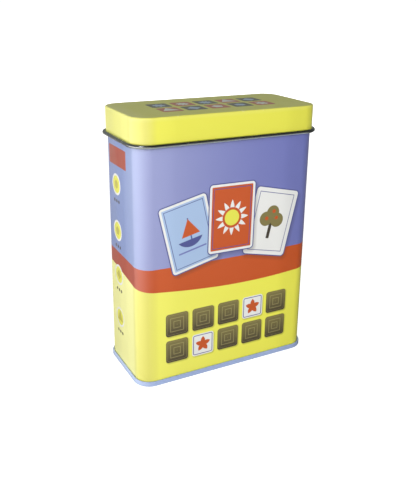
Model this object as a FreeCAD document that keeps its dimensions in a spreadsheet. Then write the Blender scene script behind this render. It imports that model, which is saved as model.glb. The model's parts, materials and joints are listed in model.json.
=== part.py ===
import FreeCAD, Part
import math
import os

import Sketcher

# A memory card game in an upright tin: a rounded-rectangle tube of sheet steel with a bottom
# seamed on, a slip lid that lifts off, the paired cards standing on edge and a folded leaflet.
# Frame: origin at the centre of the base, +Z up, the front of the tin faces -Y. Millimetres.

# Driving dimensions: value and what it measures
driving_sizes = {
    "card_width": (74.0, "card, left to right"),
    "card_height": (105.0, "card, bottom to top"),
    "card_thickness": (0.85, "card, front to back"),
    "card_corner_radius": (5.0, "rounded corner of a card"),
    "card_spacing": (0.03, "air between two cards in the deck"),
    "card_side_room": (5.0, "card edge to the outside of the tin wall"),
    "deck_room": (2.77, "deck to the outside of the tin wall, front and back"),
    "head_room": (8.15, "card top to the underside of the lid"),
    "floor_clearance": (0.05, "tin floor to the cards and the leaflet"),
    "leaflet_width": (72.0, "folded leaflet, left to right"),
    "leaflet_height": (100.0, "folded leaflet, bottom to top"),
    "leaflet_paper": (0.12, "paper of the leaflet"),
    "leaflet_fold_gap": (0.1, "air between two panels of the leaflet"),
    "sheet": (0.25, "tinplate, all three tin pieces"),
    "corner_radius": (6.6, "outside corner of the tin wall, seen from above"),
    "rim_curl_bore": (0.7, "hollow inside the inward curl of the tin's rim"),
    "lid_clearance": (0.5, "tin wall to the inside of the lid skirt"),
    "lid_seat_gap": (0.15, "rim of the tin to the underside of the lid"),
    "lid_height": (11.9, "lid, bottom of its curl to its top"),
    "lid_top_radius": (1.2, "outside edge round the top of the lid"),
    "lid_curl_bore": (1.17, "hollow inside the outward curl of the lid"),
    "seam_height": (2.3, "double seam, bottom to top"),
    "seam_gap": (0.05, "sealing compound between two layers of the seam"),
    "seam_fold_radius": (0.2, "inside bend under the seam"),
    "hook_room": (0.2, "raw edge of a seam hook to the fold it points into"),
    "bottom_recess": (2.6, "ground to the underside of the ring round the floor"),
    "bottom_bend_radius": (0.5, "inside bend from the floor ring to the seam"),
    "floor_step": (0.5, "floor panel above the ring round it"),
    "floor_step_radius": (0.4, "inside bends of the step round the floor panel"),
    "floor_ring": (1.4, "flat of the ring round the floor panel"),
    "side_seam_width": (3.2, "lock seam up the back, left to right"),
    "side_seam_bulge": (0.5, "lock seam, how far it stands into the tin"),
    "side_seam_inset": (1.6, "end of the lock seam's fold to the floor and to the rim"),
    "side_seam_line": (0.3, "groove outside along the lock seam, left to right"),
    "side_seam_line_depth": (0.1, "groove outside along the lock seam, its depth"),
    "cut_overrun": (1.0, "how far a cut runs past the surface it opens"),
}

# Counts and turns, which do not scale with the tin
pair_count = 18
leaflet_panels = 4
rim_curl_turn = 280
lid_curl_turn = 300
step_turn = 45
largest_arc = 120

document = FreeCAD.newDocument("memory_card_tin")
sizes = document.addObject("Spreadsheet::Sheet", "Sizes")
for row, (alias, (value, meaning)) in enumerate(driving_sizes.items(), 1):
    sizes.set(f"A{row}", meaning)
    sizes.set(f"B{row}", str(value))
    sizes.setAlias(f"B{row}", alias)
document.recompute()


class Length:
    """A length in millimetres that carries the sheet formula it comes from."""

    def __init__(self, value, formula):
        self.value = value
        self.formula = formula

    def __add__(self, other):
        return Length(self.value + other.value, f"({self.formula} + {other.formula})")

    def __sub__(self, other):
        return Length(self.value - other.value, f"({self.formula} - {other.formula})")

    def __mul__(self, factor):
        return Length(self.value * factor, f"({self.formula} * {factor})")

    def __truediv__(self, divisor):
        return Length(self.value / divisor, f"({self.formula} / {divisor})")

    def __neg__(self):
        return Length(-self.value, f"(0 - {self.formula})")


zero = Length(0.0, "0")


def size(alias):
    """A driving dimension, read from its cell."""
    return Length(float(sizes.get(alias)), f"Sizes.{alias}")


def moved(point, heading, distance):
    """The point that lies a length away from another, at a heading in degrees."""
    x, y = point
    across = round(math.cos(math.radians(heading)), 9)
    along = round(math.sin(math.radians(heading)), 9)
    if across:
        x = x + distance * across
    if along:
        y = y + distance * along
    return x, y


# Sizes worked out from the driving ones
sheet = size("sheet")
half_sheet = sheet / 2
seam_gap = size("seam_gap")
card_count = 2 * pair_count
leaflet_pitch = size("leaflet_paper") + size("leaflet_fold_gap")
leaflet_depth = leaflet_pitch * (leaflet_panels - 1) + size("leaflet_paper")
card_pitch = size("card_thickness") + size("card_spacing")
deck_depth = card_pitch * card_count + leaflet_depth
half_depth = deck_depth / 2 + size("deck_room")
half_width = size("card_width") / 2 + size("card_side_room")
corner_radius = size("corner_radius")
floor_height = size("bottom_recess") + size("floor_step") + sheet
card_base = floor_height + size("floor_clearance")
ceiling_height = card_base + size("card_height") + size("head_room")
tin_height = ceiling_height + sheet
rim_height = ceiling_height - size("lid_seat_gap")
seam_layer = sheet + seam_gap


def layer_middle(number):
    """Middle of a layer of the bottom seam, at the back; layer 0 is the wall, outer ones count up."""
    return half_depth - half_sheet + seam_layer * number


def add_sketch(body, name, role, height=None):
    """An empty sketch on one of the body's origin planes, raised by a length."""
    sketch = body.newObject("Sketcher::SketchObject", name)
    planes = {plane.Role: plane for plane in body.Origin.OriginFeatures}
    sketch.AttachmentSupport = (planes[role], [""])
    sketch.MapMode = "FlatFace"
    if height:
        sketch.setExpression("AttachmentOffset.Base.z", height.formula)
    return sketch


def vector(point):
    x, y = point
    return FreeCAD.Vector(x.value, y.value, 0)


def bind(sketch, kind, places, length, name):
    """A dimension in a sketch, driven by the sheet."""
    index = sketch.addConstraint(Sketcher.Constraint(kind, *places, length.value))
    sketch.renameConstraint(index, name)
    sketch.setExpression(f"Constraints.{name}", length.formula)


def draw_arc(edge):
    """The curve of an arc edge, counterclockwise as sketches keep their arcs."""
    start, end = edge["ends"] if edge["left"] else edge["ends"][::-1]
    centre = vector(edge["centre"])
    spokes = [vector(point) - centre for point in (start, end)]
    first, last = [math.atan2(spoke.y, spoke.x) for spoke in spokes]
    circle = Part.Circle(centre, FreeCAD.Vector(0, 0, 1), edge["radius"].value)
    return Part.ArcOfCircle(circle, first, last if last > first else last + math.tau)


def draw_outline(sketch, edges):
    """Draws a closed outline of lines and arcs, every corner and radius driven by the sheet.

    An edge is its two ends, and for an arc also its centre, its radius and whether it turns left.
    """
    ends = []
    for edge in edges:
        if "radius" in edge:
            sketch.addGeometry(draw_arc(edge))
        else:
            start, end = edge["ends"]
            sketch.addGeometry(Part.LineSegment(vector(start), vector(end)))
        reversed_arc = "radius" in edge and not edge["left"]
        ends.append((2, 1) if reversed_arc else (1, 2))
    for index, edge in enumerate(edges):
        following = (index + 1) % len(edges)
        corner = (index, ends[index][0])
        joined = (index, ends[index][1], following, ends[following][0])
        sketch.addConstraint(Sketcher.Constraint("Coincident", *joined))
        x, y = edge["ends"][0]
        bind(sketch, "DistanceX", (-1, 1, *corner), x, f"x{index}")
        bind(sketch, "DistanceY", (-1, 1, *corner), y, f"y{index}")
        if "radius" in edge:
            bind(sketch, "Radius", (index,), edge["radius"], f"bend{index}")


def rectangle(left, right, low, high):
    corners = [(left, low), (right, low), (right, high), (left, high)]
    return [{"ends": (corners[i], corners[(i + 1) % 4])} for i in range(4)]


def arc_edge(start, end, centre, radius, left):
    return {"ends": (start, end), "centre": centre, "radius": radius, "left": left}


def rounded_rectangle(middle, half_across, half_along, radius, split=False):
    """Edges of a rounded rectangle, counterclockwise; split starts it halfway along its far side."""
    edges = []
    for heading in (180, 270, 360, 450):
        sideways = heading % 180 == 90
        reach, run = (half_across, half_along) if sideways else (half_along, half_across)
        side = moved(middle, heading - 90, reach)
        first = moved(side, heading - 180, run - radius)
        last = moved(side, heading, run - radius)
        centre = moved(last, heading + 90, radius)
        edges.append({"ends": (first, last)})
        edges.append(arc_edge(last, moved(centre, heading, radius), centre, radius, True))
    if split:
        first, last = edges[0]["ends"]
        halfway = moved(middle, 90, half_along)
        edges[0] = {"ends": (halfway, last)}
        edges.append({"ends": (first, halfway)})
    return edges


def turned_round(edge):
    """The same edge, drawn from its other end."""
    return dict(edge, ends=edge["ends"][::-1], left=not edge.get("left", False))


def folded_sheet(start, heading, thickness, steps):
    """Outline of a sheet that starts at a point of its middle surface and follows the steps.

    A step is a length to run straight, or a turn in degrees (left is positive) and the radius
    of the middle surface in that bend.
    """
    half = thickness / 2
    faces = {90: [], -90: []}
    point = start
    first_heading = heading
    for step in steps:
        if isinstance(step, Length):
            last = moved(point, heading, step)
            for side, edges in faces.items():
                ends = (moved(point, heading + side, half), moved(last, heading + side, half))
                edges.append({"ends": ends})
            point = last
            continue
        turn, radius = step
        hand = 90 if turn > 0 else -90
        centre = moved(point, heading + hand, radius)
        parts = math.ceil(abs(turn) / largest_arc)
        for _ in range(parts):
            turned = heading + turn / parts
            for side, edges in faces.items():
                bend = radius - half if side == hand else radius + half
                first = moved(centre, heading - hand, bend)
                last = moved(centre, turned - hand, bend)
                edges.append(arc_edge(first, last, centre, bend, turn > 0))
            heading = turned
        point = moved(centre, heading - hand, radius)
    start_edge = {"ends": tuple(moved(start, first_heading + side, half) for side in (90, -90))}
    end_edge = {"ends": tuple(moved(point, heading + side, half) for side in (-90, 90))}
    back = [turned_round(edge) for edge in reversed(faces[90])]
    return [start_edge, *faces[-90], end_edge, *back]


def add_body(name):
    body = document.addObject("PartDesign::Body", name)
    body.Label = name
    return body


def add_pad(body, name, sketch, length):
    pad = body.newObject("PartDesign::Pad", name)
    pad.Profile = sketch
    pad.setExpression("Length", length.formula)
    return pad


def sweep_round_tin(body, name, section):
    """Sweeps a section, drawn across the back wall, once round the rounded rectangle of the tin."""
    path = add_sketch(body, f"{name}_path", "XY_Plane")
    draw_outline(path, rounded_rectangle((zero, zero), half_width, half_depth, corner_radius, split=True))
    profile = add_sketch(body, f"{name}_section", "YZ_Plane")
    draw_outline(profile, section)
    sweep = body.newObject("PartDesign::AdditivePipe", name)
    sweep.Profile = profile
    sweep.Spine = path
    return sweep


def add_plate(body, name, inset, height):
    """A flat of sheet inside the swept section, its edge that far inside the tin wall."""
    outline = add_sketch(body, f"{name}_outline", "XY_Plane", height)
    edges = rounded_rectangle(
        (zero, zero), half_width - inset, half_depth - inset, corner_radius - inset
    )
    draw_outline(outline, edges)
    return add_pad(body, name, outline, sheet)


def make_tin_body():
    """The tube: a hook for the bottom seam, the wall, the inward curl of the rim and the lock seam."""
    body = add_body("tin_body")
    rim_bend = size("rim_curl_bore") / 2 + half_sheet
    hook_end = size("seam_height") - sheet - size("hook_room")
    hook_bend_height = seam_layer * 2 + half_sheet
    rim_bend_height = rim_height - half_sheet - rim_bend
    section = folded_sheet(
        (layer_middle(2), hook_end),
        -90,
        sheet,
        [
            hook_end - hook_bend_height,
            (-180, seam_layer),
            rim_bend_height - hook_bend_height,
            (rim_curl_turn, rim_bend),
        ],
    )
    sweep_round_tin(body, "wall", section)

    inset = size("side_seam_inset")
    lowest = floor_height + inset
    highest = rim_height - sheet * 2 - size("rim_curl_bore") - inset
    fold = add_sketch(body, "lock_seam_outline", "XY_Plane", lowest)
    wall_middle = half_depth - half_sheet
    bulge = half_sheet + size("side_seam_bulge")
    half_fold = size("side_seam_width") / 2
    draw_outline(fold, rectangle(-half_fold, half_fold, wall_middle - bulge, wall_middle))
    add_pad(body, "lock_seam", fold, highest - lowest)

    line = add_sketch(body, "lock_seam_line_outline", "XY_Plane", size("seam_height") + seam_gap)
    left = -half_fold
    right = left + size("side_seam_line")
    opened = half_depth + size("cut_overrun")
    draw_outline(line, rectangle(left, right, half_depth - size("side_seam_line_depth"), opened))
    groove = body.newObject("PartDesign::Pocket", "lock_seam_line")
    groove.Profile = line
    groove.Reversed = True
    groove.setExpression("Length", (rim_bend_height - size("seam_height") - seam_gap).formula)
    return body


def make_tin_bottom():
    """The bottom: a floor panel with a step round it, and the layers that hook the tube's edge."""
    body = add_body("tin_bottom")
    step_bend = size("floor_step_radius") + half_sheet
    floor_bend = size("bottom_bend_radius") + half_sheet
    seam_bend = size("seam_fold_radius") + half_sheet
    inner_layer = layer_middle(-1)
    outer_layer = layer_middle(3)
    panel_middle = floor_height - half_sheet
    ring_middle = size("bottom_recess") + half_sheet
    # The two bends of the step take some of its height, and a slanted run the rest
    bend_drop = step_bend * (1 - math.cos(math.radians(step_turn)))
    bend_run = step_bend * math.sin(math.radians(step_turn))
    slant_drop = panel_middle - ring_middle - bend_drop * 2
    slant = slant_drop / math.sin(math.radians(step_turn))
    slant_run = slant * math.cos(math.radians(step_turn))
    panel_edge = inner_layer - floor_bend - size("floor_ring") - bend_run * 2 - slant_run
    top_bend_height = size("seam_height") - half_sheet - seam_layer
    hook_end = seam_layer + sheet + size("hook_room")
    section = folded_sheet(
        (panel_edge, panel_middle),
        0,
        sheet,
        [
            (-step_turn, step_bend),
            slant,
            (step_turn, step_bend),
            size("floor_ring"),
            (-90, floor_bend),
            ring_middle - floor_bend - half_sheet - seam_bend,
            (90, seam_bend),
            outer_layer - inner_layer - seam_bend * 2,
            (90, seam_bend),
            top_bend_height - half_sheet - seam_bend,
            (180, seam_layer),
            top_bend_height - hook_end,
        ],
    )
    add_plate(body, "floor_panel", half_depth - panel_edge, floor_height - sheet)
    sweep_round_tin(body, "seam", section)
    return body


def make_tin_lid():
    """The lid: a flat top, a rounded edge, the skirt and the outward curl along its lower edge."""
    body = add_body("tin_lid")
    top_bend = size("lid_top_radius") - half_sheet
    curl_bend = size("lid_curl_bore") / 2 + half_sheet
    skirt = half_depth + size("lid_clearance") + half_sheet
    curl_height = tin_height - size("lid_height") + curl_bend + half_sheet
    top_edge = skirt - top_bend
    section = folded_sheet(
        (top_edge, ceiling_height + half_sheet),
        0,
        sheet,
        [
            (-90, top_bend),
            ceiling_height + half_sheet - top_bend - curl_height,
            (lid_curl_turn, curl_bend),
        ],
    )
    add_plate(body, "top", half_depth - top_edge, ceiling_height)
    sweep_round_tin(body, "skirt", section)
    return body


def make_card(name, front):
    """A card standing on its short edge, its front face at the given depth."""
    body = add_body(name)
    outline = add_sketch(body, f"{name}_outline", "XZ_Plane")
    half_height = size("card_height") / 2
    edges = rounded_rectangle(
        (zero, half_height), size("card_width") / 2, half_height, size("card_corner_radius")
    )
    draw_outline(outline, edges)
    pad = add_pad(body, f"{name}_board", outline, size("card_thickness"))
    pad.Reversed = True
    body.setExpression("Placement.Base.y", front.formula)
    body.setExpression("Placement.Base.z", card_base.formula)
    return body


def make_leaflet(front):
    """The leaflet: one sheet of paper folded to and fro, standing behind the deck."""
    body = add_body("rules_leaflet")
    fold_bend = leaflet_pitch / 2
    run = size("leaflet_width") - fold_bend * 2 - size("leaflet_paper")
    steps = []
    for panel in range(leaflet_panels):
        if panel:
            steps.append((180 if panel % 2 else -180, fold_bend))
        steps.append(run)
    outline = add_sketch(body, "leaflet_outline", "XY_Plane")
    start = (-(run / 2), size("leaflet_paper") / 2)
    draw_outline(outline, folded_sheet(start, 0, size("leaflet_paper"), steps))
    add_pad(body, "leaflet_paper", outline, size("leaflet_height"))
    body.setExpression("Placement.Base.y", front.formula)
    body.setExpression("Placement.Base.z", card_base.formula)
    return body


tin_lid = make_tin_lid()
bodies = [make_tin_body(), make_tin_bottom(), tin_lid]
deck_front = -(deck_depth / 2)
card_names = [f"pair_{pair:02}_card_{card}" for card in "ab" for pair in range(1, pair_count + 1)]
for place, card_name in enumerate(card_names):
    bodies.append(make_card(card_name, deck_front + card_pitch * place))
bodies.append(make_leaflet(deck_front + card_pitch * card_count))

document.recompute()
for item in document.Objects:
    if "Invalid" in item.State or "Error" in item.State:
        raise RuntimeError(f"{item.Name} failed: {item.State}")
for body in bodies:
    if body.Shape.isNull() or not body.Shape.isValid() or len(body.Shape.Solids) != 1:
        raise RuntimeError(f"{body.Label} is not one sound solid")

os.makedirs("parts", exist_ok=True)
for body in bodies:
    body.Shape.exportStep(f"parts/{body.Label}.step")
box = tin_lid.Shape.optimalBoundingBox()
print(f"{len(bodies)} pieces, tin {2 * half_width.value:.2f} x {2 * half_depth.value:.2f} mm,"
      f" {tin_height.value:.2f} mm tall, {box.XLength:.2f} x {box.YLength:.2f} mm over the lid curl")
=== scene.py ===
import json
import math

import bmesh
import bpy
import numpy as np
from mathutils import Matrix, Vector

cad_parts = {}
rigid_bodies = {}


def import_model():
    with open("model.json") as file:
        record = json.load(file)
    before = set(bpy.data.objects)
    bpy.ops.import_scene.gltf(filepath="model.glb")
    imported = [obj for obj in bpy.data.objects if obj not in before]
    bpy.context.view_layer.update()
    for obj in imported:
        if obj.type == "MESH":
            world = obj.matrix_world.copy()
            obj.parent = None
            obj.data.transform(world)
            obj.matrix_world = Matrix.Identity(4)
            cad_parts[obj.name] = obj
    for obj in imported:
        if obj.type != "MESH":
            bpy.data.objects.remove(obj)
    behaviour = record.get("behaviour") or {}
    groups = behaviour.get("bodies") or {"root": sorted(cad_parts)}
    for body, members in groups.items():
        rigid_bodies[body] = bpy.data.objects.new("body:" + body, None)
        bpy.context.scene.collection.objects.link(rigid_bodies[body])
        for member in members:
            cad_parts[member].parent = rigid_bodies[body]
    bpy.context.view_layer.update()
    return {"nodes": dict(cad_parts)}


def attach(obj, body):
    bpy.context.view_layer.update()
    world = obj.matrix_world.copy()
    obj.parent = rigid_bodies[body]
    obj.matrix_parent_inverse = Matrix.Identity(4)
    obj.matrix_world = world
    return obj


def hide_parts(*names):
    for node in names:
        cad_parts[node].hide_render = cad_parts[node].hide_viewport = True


# Memory card game in a printed tin: slip lid, seamed bottom, 18 pairs of cards and a leaflet.
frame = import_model()
scene = bpy.context.scene
mm = 0.001


# Node writing: a Signal is an output that can stand in a formula
class Signal:
    def __init__(self, tree, socket):
        self.tree = tree
        self.socket = socket

    def math(self, operation, *others):
        return mathNode(self.tree, operation, self, *others)

    def __add__(self, other):
        return self.math("ADD", other)

    def __sub__(self, other):
        return self.math("SUBTRACT", other)

    def __rsub__(self, other):
        return mathNode(self.tree, "SUBTRACT", other, self)

    def __mul__(self, other):
        return self.math("MULTIPLY", other)

    def __truediv__(self, other):
        return self.math("DIVIDE", other)

    __radd__ = __add__
    __rmul__ = __mul__


def plug(tree, value, socket):
    if isinstance(value, Signal):
        tree.links.new(value.socket, socket)
    else:
        socket.default_value = value


def addNode(tree, kind, inputs=(), **settings):
    node = tree.nodes.new(kind)
    for name, value in settings.items():
        setattr(node, name, value)
    for key, value in inputs.items() if isinstance(inputs, dict) else enumerate(inputs):
        plug(tree, value, node.inputs[key])
    return node


def outOf(tree, kind, inputs=(), output=0, **settings):
    return Signal(tree, addNode(tree, kind, inputs, **settings).outputs[output])


def mathNode(tree, operation, *values):
    return outOf(tree, "ShaderNodeMath", values, operation=operation)


def vectorNode(tree, operation, *values):
    single = operation in ("LENGTH", "DOT_PRODUCT", "DISTANCE")
    return outOf(tree, "ShaderNodeVectorMath", values, "Value" if single else "Vector", operation=operation)


def stretched(tree, vector, factor):
    inputs = {"Vector": vector, "Scale": factor}
    return outOf(tree, "ShaderNodeVectorMath", inputs, "Vector", operation="SCALE")


def parted(vector):
    node = addNode(vector.tree, "ShaderNodeSeparateXYZ", (vector,))
    return [Signal(vector.tree, output) for output in node.outputs]


def joined(tree, x, y, z=0.0):
    return outOf(tree, "ShaderNodeCombineXYZ", (x, y, z))


def below(signal, edge=0.0, soft=0.04):  # 1 where the signal lies under the edge
    inputs = {"Value": signal, "From Min": edge + soft, "From Max": edge - soft}
    return outOf(signal.tree, "ShaderNodeMapRange", inputs)


def above(signal, edge=0.0, soft=0.04):
    return below(signal, edge, -soft)


def mixInk(mask, under, over):
    tree = mask.tree
    return outOf(tree, "ShaderNodeMix", {0: mask, 6: under, 7: over}, 2, data_type="RGBA")


def paint(colour, name, *shape):  # an ink of the palette where the shape lies under its edge
    return mixInk(below(*shape), colour, palette[name])


def grain(vector, scale, detail=2.0, roughness=0.5):
    inputs = {"Vector": vector, "Scale": scale, "Detail": detail, "Roughness": roughness}
    return outOf(vector.tree, "ShaderNodeTexNoise", inputs, "Fac")


def ink(*levels):  # screen levels 0 to 255, as light
    shares = [level / 255 for level in levels]
    return (*(s / 12.92 if s <= 0.04045 else ((s + 0.055) / 1.055) ** 2.4 for s in shares), 1.0)


def inkRamp(tree, factor, stops, steps="CONSTANT"):
    ramp = outOf(tree, "ShaderNodeValToRGB", {0: factor})
    scale = ramp.socket.node.color_ramp
    scale.interpolation = steps
    scale.elements.remove(scale.elements[1])
    for number, (place, colour) in enumerate(stops):
        stop = scale.elements.new(place) if number else scale.elements[0]
        stop.color = colour
    return ramp


def newGroup(name, kind, inputs, output):
    tree = bpy.data.node_groups.new(name, kind)
    for label, socketType in inputs:
        tree.interface.new_socket(label, in_out="INPUT", socket_type="NodeSocket" + socketType)
    tree.interface.new_socket(output[0], in_out="OUTPUT", socket_type="NodeSocket" + output[1])
    given = tree.nodes.new("NodeGroupInput")
    result = tree.nodes.new("NodeGroupOutput")
    return tree, {s.name: Signal(tree, s) for s in given.outputs if s.name}, result.inputs[0]


# Geometry Nodes: a section swept round a rounded rectangle, with flat plates where it stays open
def makeSweepTree():
    tree, given, result = newGroup("roundedSweep", "GeometryNodeTree", [
        ("Section", "Object"), ("Path Width", "Float"), ("Path Depth", "Float"),
        ("Corner Radius", "Float"), ("Corner Steps", "Int"),
        ("Seam Place", "Float"), ("Seam Line", "Float"), ("Seam Depth", "Float"),
        ("Printed Plate", "Float"), ("Bare Plate", "Float"),
        ("Turn", "Rotation"), ("Place", "Vector"),
        ("Printed", "Material"), ("Bare", "Material"), ("Edge", "Material")], ("Mesh", "Geometry"))
    width, depth, radius = given["Path Width"] / 2, given["Path Depth"] / 2, given["Corner Radius"]
    nearly = 0.001 * mm

    path = outOf(tree, "GeometryNodeCurvePrimitiveQuadrilateral",
                 {"Width": given["Path Width"], "Height": given["Path Depth"]}, mode="RECTANGLE")
    path = outOf(tree, "GeometryNodeFilletCurve",
                 {"Curve": path, "Count": given["Corner Steps"], "Radius": radius}, mode="POLY")

    # the far side gets four more points, for the groove of a lock seam
    x, y, _ = parted(outOf(tree, "GeometryNodeInputPosition"))
    farSide = y.math("GREATER_THAN", depth - nearly)
    hasSeam = given["Seam Depth"].math("GREATER_THAN", 0.0)
    cuts = farSide * x.math("GREATER_THAN", 0.0) * hasSeam * 4.0
    path = outOf(tree, "GeometryNodeSubdivideCurve", {"Curve": path, "Cuts": cuts})
    straight = width - radius
    onSeam = farSide * x.math("ABSOLUTE").math("LESS_THAN", straight * 0.9)
    sunk = x.math("ABSOLUTE").math("LESS_THAN", straight * 0.4)
    reach = given["Seam Line"] * (0.75 - sunk * 0.25)
    seamPoint = joined(tree, given["Seam Place"] + x.math("SIGN") * reach, depth - sunk * given["Seam Depth"])
    path = outOf(tree, "GeometryNodeSetPosition", {"Geometry": path, "Selection": onSeam, "Position": seamPoint})

    # each path point keeps its place and the way out from the core of the rectangle
    place = outOf(tree, "GeometryNodeInputPosition")
    core = joined(tree, straight, depth - radius)
    inCore = vectorNode(tree, "MINIMUM", place, core)
    inCore = vectorNode(tree, "MAXIMUM", inCore, stretched(tree, core, -1.0))
    outward = vectorNode(tree, "NORMALIZE", vectorNode(tree, "SUBTRACT", place, inCore))

    def keep(geometry, name, value, dataType="FLOAT_VECTOR", domain="POINT"):
        inputs = {"Geometry": geometry, "Name": name, "Value": value}
        return outOf(tree, "GeometryNodeStoreNamedAttribute", inputs, data_type=dataType, domain=domain)

    def recall(name, dataType="FLOAT_VECTOR"):
        return outOf(tree, "GeometryNodeInputNamedAttribute", {"Name": name}, data_type=dataType)

    path = keep(keep(path, "pathPlace", place), "pathOutward", outward)
    section = outOf(tree, "GeometryNodeObjectInfo", {"Object": given["Section"]}, "Geometry")
    section = outOf(tree, "GeometryNodeMeshToCurve", {"Mesh": section})
    section = keep(section, "sectionPlace", outOf(tree, "GeometryNodeInputPosition"))
    swept = outOf(tree, "GeometryNodeCurveToMesh", {"Curve": path, "Profile Curve": section})
    across, up, _ = parted(recall("sectionPlace"))
    shifted = vectorNode(tree, "ADD", recall("pathPlace"), stretched(tree, recall("pathOutward"), across))
    target = vectorNode(tree, "ADD", shifted, joined(tree, 0.0, 0.0, up))
    swept = outOf(tree, "GeometryNodeSetPosition", {"Geometry": swept, "Position": target})
    side = recall("printSide", "FLOAT")
    swept = keep(swept, "sheetSide", side, "FLOAT", "FACE")

    pieces = [swept]
    faces = outOf(tree, "GeometryNodeInputMeshEdgeNeighbors")
    for height, isPrinted in (("Printed Plate", 1.0), ("Bare Plate", 0.0)):
        loose = faces.math("COMPARE", 1.0, 0.1) * side.math("COMPARE", isPrinted, 0.1)
        rim = outOf(tree, "GeometryNodeMeshToCurve", {"Mesh": swept, "Selection": loose})
        plate = outOf(tree, "GeometryNodeFillCurve", {"Curve": rim}, mode="NGONS")
        raised = joined(tree, 0.0, 0.0, given[height])
        plate = outOf(tree, "GeometryNodeTransform", {"Geometry": plate, "Translation": raised})
        plate = outOf(tree, "GeometryNodeSetMaterial", {"Geometry": plate, "Material": given["Edge"]})
        pieces.append(keep(plate, "sheetSide", isPrinted, "FLOAT", "FACE"))
    join = tree.nodes.new("GeometryNodeJoinGeometry")
    for piece in pieces:
        tree.links.new(piece.socket, join.inputs[0])
    shape = outOf(tree, "GeometryNodeMergeByDistance", {"Geometry": Signal(tree, join.outputs[0]), "Distance": nearly})
    shape = outOf(tree, "GeometryNodeTransform",
                  {"Geometry": shape, "Rotation": given["Turn"], "Translation": given["Place"]})
    shape = outOf(tree, "GeometryNodeRealizeInstances", {"Geometry": shape})
    side = recall("sheetSide", "FLOAT")
    shape = outOf(tree, "GeometryNodeSetMaterial", {"Geometry": shape, "Material": given["Edge"]})
    for label, chosen in (("Printed", side.math("GREATER_THAN", 0.75)), ("Bare", side.math("LESS_THAN", 0.25))):
        inputs = {"Geometry": shape, "Selection": chosen, "Material": given[label]}
        shape = outOf(tree, "GeometryNodeSetMaterial", inputs)
    plug(tree, shape, result)
    return tree


sweepTree = makeSweepTree()
print("sweep tree:", len(sweepTree.nodes), "nodes")


def foldedSheet(start, heading, thickness, steps, arcStep=10.0):
    # a step is a run, or a turn in degrees (left is positive) with its middle radius
    point, heading = Vector(start), math.radians(heading)
    left, right = [], []

    def sideways():
        return Vector((-math.sin(heading), math.cos(heading)))

    def drop():
        left.append(point + sideways() * thickness / 2)
        right.append(point - sideways() * thickness / 2)

    drop()
    for step in steps:
        if isinstance(step, tuple):
            turn, radius = math.radians(step[0]), step[1] * math.copysign(1, step[0])
            count = math.ceil(abs(step[0]) / arcStep)
            centre = point + sideways() * radius
            for _ in range(count):
                heading += turn / count
                point = centre - sideways() * radius
                drop()
        else:
            point = point + Vector((math.cos(heading), math.sin(heading))) * step
            drop()
    return left, right


def makeSection(name, points, flags, closed):
    mesh = bpy.data.meshes.new(name)
    count = len(points)
    edges = [(i, (i + 1) % count) for i in range(count if closed else count - 1)]
    mesh.from_pydata([(p[0] * mm, p[1] * mm, 0) for p in points], edges, [])
    mesh.attributes.new("printSide", "FLOAT", "POINT").data.foreach_set("value", flags)
    section = bpy.data.objects.new(name, mesh)
    scene.collection.objects.link(section)
    return section


def plainMesh(piece):
    shape = piece.evaluated_get(bpy.context.evaluated_depsgraph_get())
    old, piece.data = piece.data, bpy.data.meshes.new_from_object(shape)
    piece.modifiers.clear()
    bpy.data.meshes.remove(old)
    return piece.data


def sweep(name, values, sharp=35.0):
    piece = bpy.data.objects.new(name, bpy.data.meshes.new(name))
    scene.collection.objects.link(piece)
    modifier = piece.modifiers.new("sweep", "NODES")
    modifier.node_group = sweepTree
    for item in sweepTree.interface.items_tree:
        if item.in_out == "INPUT" and item.name in values:
            modifier[item.identifier] = values[item.name]
    mesh = plainMesh(piece)
    for label in ("pathPlace", "pathOutward", "sectionPlace", "printSide", "sheetSide"):
        if label in mesh.attributes:
            mesh.attributes.remove(mesh.attributes[label])
    editor = bmesh.new()
    editor.from_mesh(mesh)
    bmesh.ops.recalc_face_normals(editor, faces=editor.faces)
    editor.to_mesh(mesh)
    editor.free()
    mesh.shade_smooth()
    mesh.set_sharp_from_angle(angle=math.radians(sharp))
    even = piece.modifiers.new("evenNormals", "WEIGHTED_NORMAL")  # flats stay flat beside bends
    even.keep_sharp = True
    plainMesh(piece).name = name
    return piece


# Print shapes: distances in millimetres, negative inside
def makeBoxGroup():
    tree, given, result = newGroup("roundedBox", "ShaderNodeTree", [
        ("Point", "Vector"), ("Half Width", "Float"), ("Half Height", "Float"), ("Corner", "Float")],
        ("Distance", "Float"))
    x, y, _ = parted(vectorNode(tree, "ABSOLUTE", given["Point"]))
    x = x - given["Half Width"] + given["Corner"]
    y = y - given["Half Height"] + given["Corner"]
    outside = vectorNode(tree, "LENGTH", joined(tree, x.math("MAXIMUM", 0.0), y.math("MAXIMUM", 0.0)))
    plug(tree, outside + x.math("MAXIMUM", y).math("MINIMUM", 0.0) - given["Corner"], result)
    return tree


def makeSymbolGroup():
    tree, given, result = newGroup("petalSymbol", "ShaderNodeTree", [
        ("Point", "Vector"), ("Size", "Float"), ("Petals", "Float"), ("Depth", "Float"), ("Spike", "Float")],
        ("Distance", "Float"))
    x, y, _ = parted(given["Point"])
    reach = vectorNode(tree, "LENGTH", joined(tree, x, y))
    share = (mathNode(tree, "ARCTAN2", x, y) * given["Petals"] / math.tau).math("FRACT")
    ramp = 1.0 - (share - 0.5).math("ABSOLUTE") * 2.0
    wave = 0.5 - (ramp * math.pi).math("COSINE") * 0.5
    rim = given["Size"] * (1.0 - given["Depth"] * (wave + (ramp - wave) * given["Spike"]))
    plug(tree, reach - rim, result)
    return tree


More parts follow.
